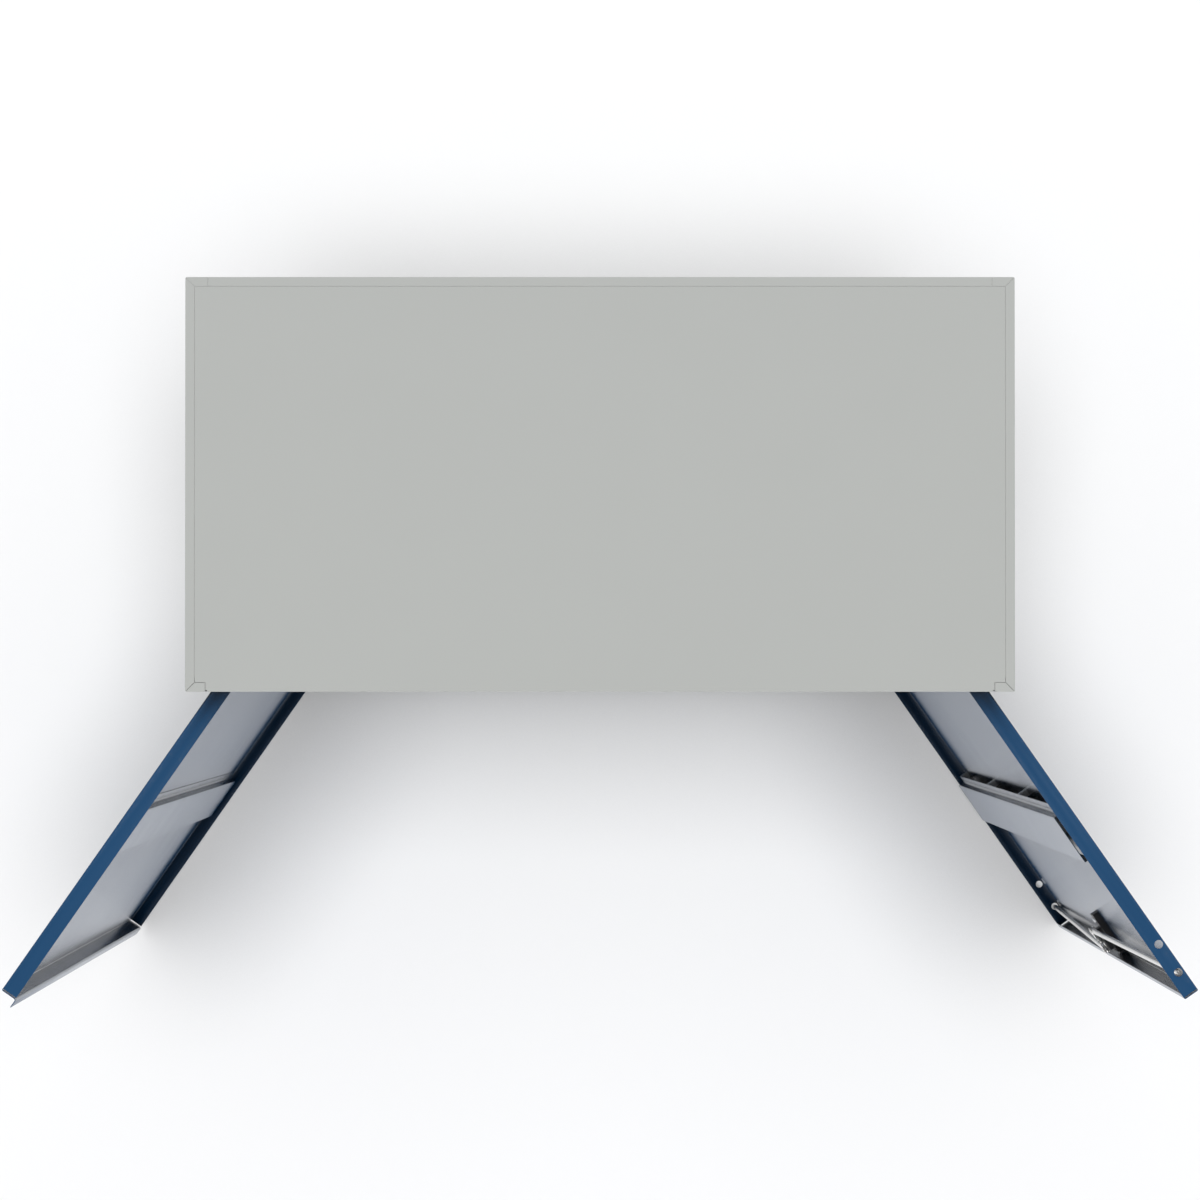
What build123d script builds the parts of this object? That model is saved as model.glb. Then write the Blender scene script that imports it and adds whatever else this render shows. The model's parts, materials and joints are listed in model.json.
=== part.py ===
from build123d import *
import math
import os

# Double-door sheet-steel storage cupboard, millimetres.
# Origin: centre of the body's footprint on the floor. +X to the right seen from the front,
# +Y to the back, +Z up. The doors are at the front, -Y, and stand open in the rest pose.

# Overall body
width = 1000.0
depth = 500.0
height = 1950.0
sheet = 1.0             # body and shelf steel
bend = 2.0              # outer radius of a folded edge
seam = 0.4              # visible gap between two flush sheets
foot_height = 8.0       # floor glide below the body's lower edge

# Body flanges
top_flange = 11.0       # turned in along the sides and the back of the top
front_return = 24.0     # side panel turned in beside the door
stile_return = 15.0     # and back again
rear_return = 27.0      # side panel turned in over the back panel's edge
bottom_flange = 26.0    # side panel turned in above the floor
joggle = 1.5            # step where a panel drops behind a flange
relief = 2.4            # corner notch beside the header
header_height = 33.0
header_depth = 45.0
header_lip = 15.0
plinth_height = 55.0    # front rail under the doors, above the foot
plinth_lip = 15.0

# Doors
door_depth = 20.0
door_sheet = 1.0
door_bend = 2.0
door_gap = 2.0          # to the stile, the header and the plinth
centre_gap = 3.0        # between the two doors
corner_slit = 1.5       # open corner between two door flanges
open_angle = 125.0
pivot_in = 17.0         # pivot line from the door's hinge edge
pivot_deep = 7.5        # pivot line behind the door's outer face
lip_width = 10.5        # left door's lip, behind the right door
lip_gap = 0.3
lip_corner = 8.0        # cut off the lip's lower corner
return_width = 8.0      # right door's turned-in free edge

# Door pivots
pin_radius = 4.0
pin_reach = 10.0        # past the door's flange
pin_head_radius = 6.0
pin_head_height = 5.0
running = 0.08          # radial clearance of a turning fit
seating = 0.05          # radial clearance of a fixed fit
bush_wall = 1.5
bush_flange_radius = 7.0
bush_flange_gap = 0.3   # between the bush and the door's flange
bush_depth = 6.0
pivot_plate_sheet = 2.0
pivot_plate_length = 36.0
pivot_plate_margin = 9.0

# Door stiffeners
hat_face = 66.0
hat_foot = 11.0
hat_height = 10.5
hat_sheet = 1.0
hat_centre = 219.0      # from the pivot line
hat_top_gap = 20.0
hat_bottom_gap = 15.0
spacer_height = 11.3    # holds the right stiffener off the skin
spacer_length = 30.0
spacer_count = 4

# Locking rods
rod_line = 31.5         # rod holes from the right door's free edge
spare_line = 73.0       # unused second pair of holes
flange_hole_radius = 5.2
striker_radius = 6.6
rod_radius = 3.5
rod_tip_radius = 2.6
rod_tip_length = 26.0
lock_height = 962.0     # spindle above the floor
lever_arm = 15.3        # spindle to rod pin
lever_end = 6.8         # rounded arm end
lever_plate = 1.6
lever_level = 17.0      # lower plate behind the door's outer face
rod_eye = 3.4
rod_eye_radius = 5.5
rod_tongue = 11.0
eye_gap = 0.2
rod_pin_radius = 3.0
swing_share = 0.9       # share of the arm that a rod swings sideways, so that its tip stays in its hole
swing_offset = 0.035    # tip's offset at rest, as a share of the arm

# Lock case, handle and cylinder
case_inner = 35.0       # spindle to the case's hinge-side end
case_outer = 29.0
case_depth = 9.0
case_half_height = 22.0
block_inner = 15.5
block_outer = 19.5
block_depth = 16.5      # from the door's outer face
block_half_height = 17.0
tooth_width = 2.6
spindle_radius = 5.0
spindle_square = 7.0
boss_radius = 8.0
screw_radius = 2.2
screw_head_radius = 3.8
rose_radius = 24.0
rose_depth = 5.0
grip_length = 90.0
grip_width = 22.0
grip_depth = 20.0
grip_gap = 6.0          # finger room under the wings
hub_radius = 15.0
barrel_radius = 8.0
barrel_length = 16.0
plug_radius = 5.0
plug_proud = 0.8
key_slot = (1.6, 6.0, 9.0)  # width, height, depth

# Shelves
pitch = 25.0
shelf_count = 4
shelf_fold = 25.0
shelf_lip = 10.0
shelf_front_gap = 38.0  # from the body's front face
shelf_rear_gap = 6.0
shelf_side_gap = 1.5
upright_width = 30.0
upright_deep = 12.0
upright_offset = 150.0
upright_top_gap = 30.0
slot_width = 12.0
slot_height = 4.0
first_slot = 3
clip_width = 10.0
clip_sheet = 2.0
clip_ledge = 16.0
clip_drop = 12.0

# Small parts
glide_radius = 11.0
glide_stem_radius = 3.0
glide_inset = 40.0
buffer_size = (12.0, 9.0)
buffer_places = (60.0, 380.0)
buffer_gap = 0.3
strip_leg = 16.0
strip_foot = 20.0
strip_gap = 2.0         # behind the closed doors
strip_clear = 27.0      # strip's end from the pivot line
wall_hole_radius = 4.5
wall_hole_spacing = 800.0
wall_hole_drop = 60.0

# Worked out from the above
half_w = width / 2
front = -depth / 2
back = depth / 2
stile_x = half_w - front_return
header_z = height - header_height
plinth_z = foot_height + plinth_height
door_low = plinth_z + door_gap
door_high = header_z - door_gap
pivot_x = stile_x - door_gap - pivot_in
pivot_y = front + pivot_deep
free_u = pivot_x - centre_gap / 2
rod_u = free_u - rod_line
bush_radius = pin_radius + running + bush_wall
lever_high = lever_level + 2 * lever_plate + rod_eye + 2 * eye_gap
rod_level = lever_level + lever_plate + eye_gap + rod_eye / 2
inner_x = half_w - sheet
shelf_half = inner_x - upright_deep - shelf_side_gap
door_strip_y = front + door_depth + strip_gap
bay_pitches = (header_z - plinth_z) / pitch / (shelf_count + 1)
shelf_steps = [round(number * bay_pitches) for number in range(1, shelf_count + 1)]
glide_x = half_w - bottom_flange / 2
glide_places = (front + glide_inset, back - glide_inset)
case_level = door_sheet + case_depth
screw_in = (case_inner + block_inner) / 2
screw_heights = (-case_half_height / 2, case_half_height / 2)
handle_face = -rose_depth - seam
handle_outer = handle_face - grip_gap - grip_depth


def block(x, y, z):
    """Box between two corners, each axis as a (low, high) range."""
    size = [high - low for low, high in (x, y, z)]
    centre = [(low + high) / 2 for low, high in (x, y, z)]
    return Pos(*centre) * Box(*size)


def rod_along_z(radius, x, y, z):
    """Round bar along Z between two heights."""
    return Pos(x, y, (z[0] + z[1]) / 2) * Cylinder(radius, z[1] - z[0])


def rod_along_y(radius, x, y, z):
    """Round bar along Y between two depths."""
    return Pos(x, (y[0] + y[1]) / 2, z) * Rot(90, 0, 0) * Cylinder(radius, y[1] - y[0])


def folded(points, z, thickness=sheet, radius=bend):
    """Upright folded sheet: outer line in plan, thickness laid to its right."""
    line = FilletPolyline(*points, radius=radius)
    face = make_face(offset(line, amount=thickness, side=Side.RIGHT, closed=True))
    return Pos(0, 0, z[0]) * extrude(face, z[1] - z[0])


def folded_across(points, x, thickness=sheet, radius=bend):
    """Folded sheet running along X: outer line as (y, z), thickness laid to its right."""
    line = FilletPolyline(*points, radius=radius)
    face = make_face(offset(line, amount=thickness, side=Side.RIGHT, closed=True))
    across = Plane(origin=(x[0], 0, 0), x_dir=(0, 1, 0), z_dir=(1, 0, 0))
    return extrude(across * face, x[1] - x[0])


def both_sides(shape):
    """The shape and its mirror image about the centre plane."""
    return [shape, mirror(shape, about=Plane.YZ)]


def swing(shapes, side):
    """Put door pieces, drawn closed and on the left, on their side and swing them open."""
    turned = [shape if side == "left" else mirror(shape, about=Plane.YZ) for shape in shapes]
    x = -pivot_x if side == "left" else pivot_x
    angle = -open_angle if side == "left" else open_angle
    move = Pos(x, pivot_y, 0) * Rot(0, 0, angle) * Pos(-x, -pivot_y, 0)
    return [move * shape for shape in turned]


def save(node, shapes):
    """Write one node, as one solid or a group of separate solids."""
    solids = [solid for shape in shapes for solid in shape.solids()]
    export_step(solids[0] if len(solids) == 1 else Compound(children=solids), f"parts/{node}.step")


# Body -----------------------------------------------------------------------

def side_panel():
    """Left side: wall, turned-in front and rear edges, mitred top flange and foot flange."""
    outline = [
        (-stile_x, front + stile_return),
        (-stile_x, front),
        (-half_w, front),
        (-half_w, back),
        (-half_w + rear_return, back),
    ]
    wall = folded(outline, (foot_height, height))
    top = (height - sheet, height)
    flange = block((-half_w, -half_w + top_flange), (front, back), top)
    flange += block((-half_w, -stile_x), (front, front + top_flange), top)
    flange += block((-half_w, -half_w + rear_return), (back - top_flange, back), top)
    foot = (foot_height, foot_height + sheet)
    lower = block((-half_w, -half_w + bottom_flange), (front + sheet, back - 2 * sheet), foot)
    flange += lower - block((-stile_x, 0), (front, front + stile_return), foot)
    corner = extrude(RectangleRounded(width, depth, bend), height)
    panel = wall + (flange & corner)
    panel -= block((-stile_x - sheet, 0), (front + top_flange, front + stile_return), top)
    middle = (top_flange + sheet) / 2
    mitre = (top_flange - sheet) * math.sqrt(2) - sheet
    for y, turn in ((front + middle, 45), (back - middle, -45)):
        slit = Rot(0, 0, turn) * Box(mitre, seam, sheet)
        panel -= Pos(middle - half_w, y, height - sheet / 2) * slit
    for y in glide_places:
        panel -= rod_along_z(glide_stem_radius + seating, -glide_x, y, foot)
    return panel


def back_panel():
    """Back sheet, flush between the side panels' rear edges and stepped in behind them."""
    flush = half_w - rear_return - seam
    under = inner_x - bend
    z = (foot_height, height)
    panel = block((-flush, flush), (back - sheet, back), z)
    top = (height - sheet, height)
    panel += block((-flush, flush), (back - top_flange, back), top)
    for edge in ((-under, joggle - flush), (flush - joggle, under)):
        panel += block(edge, (back - 2 * sheet, back - sheet), (foot_height, height - sheet))
    for x in (-wall_hole_spacing / 2, wall_hole_spacing / 2):
        panel -= rod_along_y(wall_hole_radius, x, (back - sheet, back), height - wall_hole_drop)
    return panel


def top_panel():
    """Top sheet, stepped down under the flanges and folded over the front as the header."""
    flush_x = half_w - top_flange - seam
    flush_y = back - top_flange - seam
    header_x = stile_x - seam
    z = (height - sheet, height)
    low = (height - 2 * sheet, height - sheet)
    clear = front + top_flange + seam
    panel = block((-flush_x, flush_x), (clear, flush_y), z)
    panel += block((-header_x, header_x), (front + bend, clear), z)
    rim_x = inner_x
    rim_y = back - 2 * sheet
    rim = block((-rim_x, rim_x), (front + stile_return + bend, rim_y), low)
    rim -= block((joggle - flush_x, flush_x - joggle), (front, flush_y - joggle), low)
    panel += rim
    outline = [
        (front + header_depth, header_z + header_lip),
        (front + header_depth, header_z),
        (front, header_z),
        (front, height),
        (front + header_depth, height),
    ]
    notch = stile_x - relief
    panel += folded_across(outline, (-notch, notch))
    flange = (header_z, header_z + sheet)
    panel += block((-header_x, header_x), (front + bend, front + header_depth - bend), flange)
    for x in (-pivot_x, pivot_x):
        panel -= rod_along_z(bush_radius + seating, x, pivot_y, flange)
    panel -= rod_along_z(striker_radius, pivot_x - rod_u, pivot_y, flange)
    return panel


def base_panel():
    """Floor of the cupboard, folded down at the front as the plinth and at the back."""
    plate = (plinth_z - sheet, plinth_z)
    edge_x = stile_x - seam
    rear = back - 2 * sheet
    panel = block((-inner_x, inner_x), (front + stile_return + seam, rear), plate)
    panel += block((-edge_x, edge_x), (front + bend, front + stile_return + seam), plate)
    outline = [
        (rear, plinth_z - plinth_lip),
        (rear, plinth_z),
        (front, plinth_z),
        (front, foot_height),
        (front + plinth_lip, foot_height),
    ]
    flipped = list(reversed(outline))
    panel += folded_across(flipped, (-edge_x, edge_x))
    for x in (-pivot_x, pivot_x):
        panel -= rod_along_z(bush_radius + seating, x, pivot_y, plate)
    panel -= rod_along_z(striker_radius, pivot_x - rod_u, pivot_y, plate)
    return panel


def stop_strip(level, direction):
    """Angle strip that the closed doors meet, hung from the header or stood on the plinth."""
    end = pivot_x - strip_clear
    near = level + direction * sheet
    far = level + direction * strip_leg
    foot = tuple(sorted((level, near)))
    leg = tuple(sorted((level, far)))
    strip = block((-end, end), (door_strip_y, door_strip_y + strip_foot), foot)
    return strip + block((-end, end), (door_strip_y, door_strip_y + sheet), leg)


def door_buffers():
    """Rubber pads on the stop strips, opposite the edges of the door flanges."""
    y = (front + door_depth + buffer_gap, door_strip_y)
    z_ranges = (
        (header_z - sheet - buffer_size[1], header_z - sheet),
        (plinth_z + sheet, plinth_z + sheet + buffer_size[1]),
    )
    pads = []
    for place in buffer_places:
        for z in z_ranges:
            pads += both_sides(block((place, place + buffer_size[0]), y, z))
    return pads


def pivot_plate(z):
    """Doubler behind a pivot bush."""
    x = (pivot_x - pivot_plate_length / 2, stile_x - seam)
    y = (front + bend + seam, pivot_y + pivot_plate_margin)
    return block(x, y, z) - rod_along_z(bush_radius + seating, pivot_x, pivot_y, z)


def pivot_bush(face, direction):
    """Flanged nylon bush: flange towards the door, barrel through the sheet and its doubler."""
    thick = door_gap - bush_flange_gap
    flange = tuple(sorted((face, face - direction * thick)))
    barrel = tuple(sorted((face, face + direction * bush_depth)))
    bush = rod_along_z(bush_flange_radius, pivot_x, pivot_y, flange)
    bush += rod_along_z(bush_radius, pivot_x, pivot_y, barrel)
    through = (flange[0], barrel[1]) if direction > 0 else (barrel[0], flange[1])
    return bush - rod_along_z(pin_radius + running, pivot_x, pivot_y, through)


def upright(y):
    """Slotted channel on the left wall that carries the shelf clips."""
    face_x = -inner_x + upright_deep
    low = y - upright_width / 2
    high = y + upright_width / 2
    outline = [(-inner_x, high), (face_x, high), (face_x, low), (-inner_x, low)]
    z = (plinth_z, header_z - upright_top_gap)
    channel = folded(outline, z)
    count = int((z[1] - plinth_z) // pitch)
    middle = (plinth_z + first_slot * pitch + plinth_z + (count - 1) * pitch) / 2
    slots = GridLocations(pitch, slot_width * 2, count - first_slot, 1)
    row = Sketch() + [place * Rectangle(slot_height, slot_width) for place in slots]
    wall = Plane(origin=(face_x - sheet, y, middle), x_dir=(0, 0, 1), z_dir=(1, 0, 0))
    return channel - extrude(wall * row, sheet)


def shelf_top(step):
    """Height of a shelf whose clips hook into the slot of that number."""
    return plinth_z + step * pitch + clip_sheet / 2 + shelf_fold


def shelf(step):
    """Shelf tray: edges folded down, front and rear edges turned in again."""
    z = shelf_top(step)
    y = (front + shelf_front_gap, back - 2 * sheet - shelf_rear_gap)
    outline = [
        (y[0] + shelf_lip, z - shelf_fold),
        (y[0], z - shelf_fold),
        (y[0], z),
        (y[1], z),
        (y[1], z - shelf_fold),
        (y[1] - shelf_lip, z - shelf_fold),
    ]
    tray = folded_across(outline, (-shelf_half, shelf_half))
    for side in both_sides(block((shelf_half - sheet, shelf_half), (y[0] + bend, y[1] - bend),
                                 (z - shelf_fold, z - sheet))):
        tray += side
    return tray


def shelf_clip(step, y):
    """Clip hooked into a slot on the left, with the ledge that a shelf rests on."""
    face_x = -inner_x + upright_deep
    z = plinth_z + step * pitch
    across = (y - clip_width / 2, y + clip_width / 2)
    ledge = (z - clip_sheet / 2, z + clip_sheet / 2)
    clip = block((face_x - sheet - clip_sheet - seam, face_x + clip_ledge), across, ledge)
    clip += block((face_x, face_x + clip_sheet), across, (z - clip_drop, ledge[1]))
    hook_x = face_x - sheet - seam
    return clip + block((hook_x - clip_sheet, hook_x), across, (ledge[0], ledge[1] + clip_sheet))


def floor_glide(y):
    """Plastic glide, its stem through the side panel's foot flange."""
    foot = rod_along_z(glide_radius, -glide_x, y, (0, foot_height))
    foot = chamfer(foot.edges().group_by(Axis.Z)[0], seam)
    return foot + rod_along_z(glide_stem_radius, -glide_x, y, (foot_height, foot_height + 3 * sheet))


# Doors, drawn closed on the left --------------------------------------------

def leaf(u, w, z):
    """Box in door terms: along the door from its pivot, in from its outer face, and height."""
    x = [value - pivot_x for value in u]
    y = [value + front for value in w]
    return block(x, y, z)


def door_panel(right):
    """Tray-shaped door: skin, hinge and free edges folded in one sheet, top and bottom flanges."""
    inner = front + door_depth
    x = (-pivot_x - pivot_in, -pivot_x + free_u)
    outline = [(x[0], inner), (x[0], front), (x[1], front)]
    if right:
        outline += [(x[1], inner), (x[1] - return_width, inner)]
    else:
        lip = inner + lip_gap
        outline += [(x[1], lip), (x[1] + lip_width, lip)]
    outline.reverse()
    z = (door_low, door_high)
    if right:
        panel = folded(outline, z, door_sheet, door_bend)
    else:
        panel = folded(outline[1:], z, door_sheet, door_bend)
        start = (x[1] - door_sheet, x[1] + lip_width)
        edge = block(start, (lip, lip + door_sheet), z)
        lower_corner = edge.edges().filter_by(Axis.Y).group_by(Axis.X)[-1].sort_by(Axis.Z)[0]
        panel += chamfer(lower_corner, lip_corner)
    ends = (-pivot_in + door_sheet + corner_slit, free_u - door_sheet - corner_slit)
    for low in (z[0], z[1] - door_sheet):
        level = (low, low + door_sheet)
        flange = leaf(ends, (0, door_depth), level)
        flange -= rod_along_z(pin_radius + seating, -pivot_x, pivot_y, level)
        panel += flange
        if right:
            for line in (rod_line, spare_line):
                panel -= rod_along_z(flange_hole_radius, free_u - line - pivot_x, pivot_y, level)
    for low in (z[0], z[1] - corner_slit):
        for u in ((ends[0] - corner_slit, ends[0]), (ends[1], ends[1] + corner_slit)):
            panel -= leaf(u, (0, door_depth), (low, low + corner_slit))
    return panel


def door_pins():
    """Headed pivot pins through the top and bottom flanges."""
    pins = []
    for face, out in ((door_high, 1), (door_low, -1)):
        inside = face - out * door_sheet
        head = tuple(sorted((inside, inside - out * pin_head_height)))
        shaft = tuple(sorted((inside, face + out * pin_reach)))
        pin = rod_along_z(pin_head_radius, -pivot_x, pivot_y, head)
        pins.append(pin + rod_along_z(pin_radius, -pivot_x, pivot_y, shaft))
    return pins


def stiffener(lift):
    """Hat-section rib down the middle of a door, its feet lifted off the skin by spacers."""
    base = front + door_sheet + lift
    top = base + hat_height
    centre = hat_centre - pivot_x
    half_face = hat_face / 2
    half_all = half_face + hat_foot
    outline = [
        (centre - half_all, base + hat_sheet),
        (centre - half_face, base + hat_sheet),
        (centre - half_face, top),
        (centre + half_face, top),
        (centre + half_face, base + hat_sheet),
        (centre + half_all, base + hat_sheet),
    ]
    z = (door_low + door_sheet + hat_bottom_gap, door_high - hat_top_gap)
    return folded(outline, z, hat_sheet, door_bend)


def stiffener_spacers():
    """Blocks between the right door's skin and the feet of its stiffener."""
    w = (door_sheet, door_sheet + spacer_height)
    low = door_low + door_sheet + hat_bottom_gap
    high = door_high - hat_top_gap - spacer_length
    half_face = hat_face / 2 + door_bend
    half_all = hat_face / 2 + hat_foot
    blocks = []
    for index in range(spacer_count):
        z = low + (high - low) * index / (spacer_count - 1)
        for u in ((-half_all, -half_face), (half_face, half_all)):
            along = (hat_centre + u[0], hat_centre + u[1])
            blocks.append(leaf(along, w, (z, z + spacer_length)))
    return blocks


# Lock -----------------------------------------------------------------------

def lock_part(u, w, z):
    """Box in lock terms: from the spindle towards the free edge, in from the outer face, and up."""
    along = (rod_u + u[0], rod_u + u[1])
    return leaf(along, w, (lock_height + z[0], lock_height + z[1]))


def lock_bar(radius, w, u=0.0, z=0.0):
    """Round bar through the door, about the spindle's line or beside it."""
    y = (front + w[0], front + w[1])
    return rod_along_y(radius, rod_u + u - pivot_x, y, lock_height + z)


def lock_case():
    """Stepped plastic case on the door's skin, notched along its free end."""
    high = (-case_half_height, case_half_height)
    case = lock_part((-case_inner, case_outer), (door_sheet, case_level), high)
    block_high = (-block_half_height, block_half_height)
    case += lock_part((-block_inner, block_outer), (door_sheet, block_depth), block_high)
    for step in (0, 2):
        u = block_outer + tooth_width * (step + 0.5)
        case -= lock_part((u, u + tooth_width), (case_level - tooth_width, case_level), high)
    case -= lock_bar(spindle_radius + running, (door_sheet, block_depth))
    for z in screw_heights:
        case -= lock_bar(screw_radius + seating, (door_sheet, case_level), -screw_in, z)
    return case


def lock_screws():
    """Screws through the case into the skin."""
    screws = []
    for z in screw_heights:
        head = lock_bar(screw_head_radius, (case_level, case_level + 2 * sheet), -screw_in, z)
        screws.append(head + lock_bar(screw_radius, (0, case_level), -screw_in, z))
    return screws


def right_door_cuts():
    """Spindle and screw holes in the right door's skin."""
    cuts = lock_bar(boss_radius, (0, door_sheet))
    for z in screw_heights:
        cuts += lock_bar(screw_radius + seating, (0, door_sheet), -screw_in, z)
    return cuts


def rose():
    """Round plate between the handle and the door's outer face."""
    plate = lock_bar(rose_radius, (-rose_depth, 0))
    plate = fillet(plate.edges().group_by(Axis.Y)[0], rose_depth / 2)
    return plate - lock_bar(spindle_radius + running, (-rose_depth, 0))


def handle():
    """Two-winged turn handle on a round hub, with a bore for the cylinder."""
    hub = lock_bar(hub_radius, (handle_outer, handle_face))
    wings = lock_part((-grip_length / 2, grip_length / 2), (handle_outer, handle_face - grip_gap),
                      (-grip_width / 2, grip_width / 2))
    wings = fillet(wings.edges().filter_by(Axis.Y), grip_width / 2 - seam)
    wings = fillet(wings.edges().group_by(Axis.Y)[0], grip_gap / 2)
    grip = hub + wings
    seat = handle_outer + barrel_length
    grip -= lock_bar(barrel_radius + seating, (handle_outer, seat))
    grip -= lock_bar(spindle_radius + seating, (seat, handle_face))
    return grip


def spindle():
    """Spindle through the door: round in the case, square in the lever, headed by the handle."""
    shaft = lock_bar(spindle_radius, (handle_outer + barrel_length, block_depth))
    half = spindle_square / 2
    return shaft + lock_part((-half, half), (block_depth, lever_high), (-half, half))


def spindle_nut():
    """Washer and screw head that hold the lever on the spindle."""
    nut = lock_bar(spindle_radius, (lever_high, lever_high + sheet))
    return nut + lock_bar(screw_head_radius, (lever_high + sheet, lever_high + 2 * sheet))


def lever():
    """Two-armed yoke: twin plates with rounded ends, joined by a hub between them."""
    plates = []
    for low in (lever_level, lever_high - lever_plate):
        w = (low, low + lever_plate)
        plate = lock_part((-lever_arm, lever_arm), w, (-lever_end, lever_end))
        for u in (-lever_arm, lever_arm):
            plate += lock_bar(lever_end, w, u)
            plate -= lock_bar(rod_pin_radius + seating, w, u)
        plates.append(plate)
    hub = lock_bar(lever_end, (lever_level, lever_high))
    half = spindle_square / 2 + seating
    socket = lock_part((-half, half), (lever_level, lever_high), (-half, half))
    return plates[0] + plates[1] + hub - socket


def lever_pins():
    """Headed pins that the rods turn on."""
    pins = []
    for u in (-lever_arm, lever_arm):
        pin = lock_bar(rod_pin_radius, (lever_level, lever_high), u)
        pins.append(pin + lock_bar(rod_pin_radius + sheet, (lever_high, lever_high + sheet), u))
    return pins


def lock_rod(up):
    """Round rod from its lever pin to its hole in the door's flange, with a thinner tip."""
    direction = 1 if up else -1
    pin_u = -direction * lever_arm
    face = door_high if up else door_low
    tip_u = direction * swing_offset * lever_arm
    start = Vector(rod_u + pin_u - pivot_x, front + rod_level, lock_height)
    end = Vector(rod_u + tip_u - pivot_x, pivot_y, face)
    way = (end - start).normalized()
    length = (end - start).length
    along = Plane(origin=start, z_dir=way)
    body = along * Pos(0, 0, (rod_tongue + length - rod_tip_length) / 2)
    rod = body * Cylinder(rod_radius, length - rod_tip_length - rod_tongue)
    tip = along * Pos(0, 0, length - rod_tip_length / 2) * Cylinder(rod_tip_radius, rod_tip_length)
    eye_w = (rod_level - rod_eye / 2, rod_level + rod_eye / 2)
    eye = lock_bar(rod_eye_radius, eye_w, pin_u)
    reach = direction * (rod_tongue + rod_radius)
    tongue = lock_part((pin_u - rod_radius, pin_u + rod_radius), eye_w, tuple(sorted((0, reach))))
    hole = lock_bar(rod_pin_radius + running, eye_w, pin_u)
    return rod + tip + tongue + eye - hole


def lock_barrel():
    """Cylinder housing in the handle."""
    housing = lock_bar(barrel_radius, (handle_outer, handle_outer + barrel_length))
    bore = (handle_outer, handle_outer + barrel_length - sheet)
    return housing - lock_bar(plug_radius + running, bore)


def lock_plug():
    """Turning plug with its key slot."""
    outer = handle_outer - plug_proud
    plug = lock_bar(plug_radius, (outer, handle_outer + barrel_length - sheet - seam))
    wide, high, deep = key_slot
    return plug - lock_part((-wide / 2, wide / 2), (outer, outer + deep), (-high / 2, high / 2))


def rod_swing():
    """Degrees that each rod swings sideways over the handle's quarter turn, top rod first."""
    travel = swing_share * lever_arm
    return [math.degrees(math.atan(travel / abs(face - lock_height))) for face in (door_high, door_low)]


# Write every node -----------------------------------------------------------

os.makedirs("parts", exist_ok=True)

left_side = side_panel()
save("left_side_panel", [left_side])
save("right_side_panel", [mirror(left_side, about=Plane.YZ)])
save("back_panel", [back_panel()])
save("top_panel", [top_panel()])
save("base_panel", [base_panel()])
save("top_stop_strip", [stop_strip(header_z, -1)])
save("bottom_stop_strip", [stop_strip(plinth_z, 1)])
save("door_buffers", door_buffers())

upper_plate = (header_z + sheet, header_z + sheet + pivot_plate_sheet)
lower_plate = (plinth_z - sheet - pivot_plate_sheet, plinth_z - sheet)
save("pivot_plates", [*both_sides(pivot_plate(upper_plate)), *both_sides(pivot_plate(lower_plate))])
save("pivot_bushes", [*both_sides(pivot_bush(header_z, 1)), *both_sides(pivot_bush(plinth_z, -1))])

left_uprights = [upright(y) for y in (-upright_offset, upright_offset)]
save("left_uprights", left_uprights)
save("right_uprights", [mirror(piece, about=Plane.YZ) for piece in left_uprights])
clips = []
for number, step in enumerate(shelf_steps, start=1):
    save(f"shelf_{number}", [shelf(step)])
    for y in (-upright_offset, upright_offset):
        clips += both_sides(shelf_clip(step, y))
save("shelf_clips", clips)
save("floor_glides", [piece for y in glide_places for piece in both_sides(floor_glide(y))])

save("left_door_panel", swing([door_panel(False)], "left"))
save("left_stiffener", swing([stiffener(0)], "left"))
save("left_pivot_pins", swing(door_pins(), "left"))

save("right_door_panel", swing([door_panel(True) - right_door_cuts()], "right"))
save("right_stiffener", swing([stiffener(spacer_height)], "right"))
save("stiffener_spacers", swing(stiffener_spacers(), "right"))
save("right_pivot_pins", swing(door_pins(), "right"))
save("lock_case", swing([lock_case()], "right"))
save("lock_screws", swing(lock_screws(), "right"))
save("handle_rose", swing([rose()], "right"))

save("turn_handle", swing([handle()], "right"))
save("spindle", swing([spindle()], "right"))
save("spindle_nut", swing([spindle_nut()], "right"))
save("rod_lever", swing([lever()], "right"))
save("lever_pins", swing(lever_pins(), "right"))
save("lock_barrel", swing([lock_barrel()], "right"))
save("lock_plug", swing([lock_plug()], "right"))
save("top_rod", swing([lock_rod(True)], "right"))
save("bottom_rod", swing([lock_rod(False)], "right"))

print("pivot", round(pivot_x, 3), round(pivot_y, 3), "rods swing", rod_swing())
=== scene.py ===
import json
import math

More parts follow.
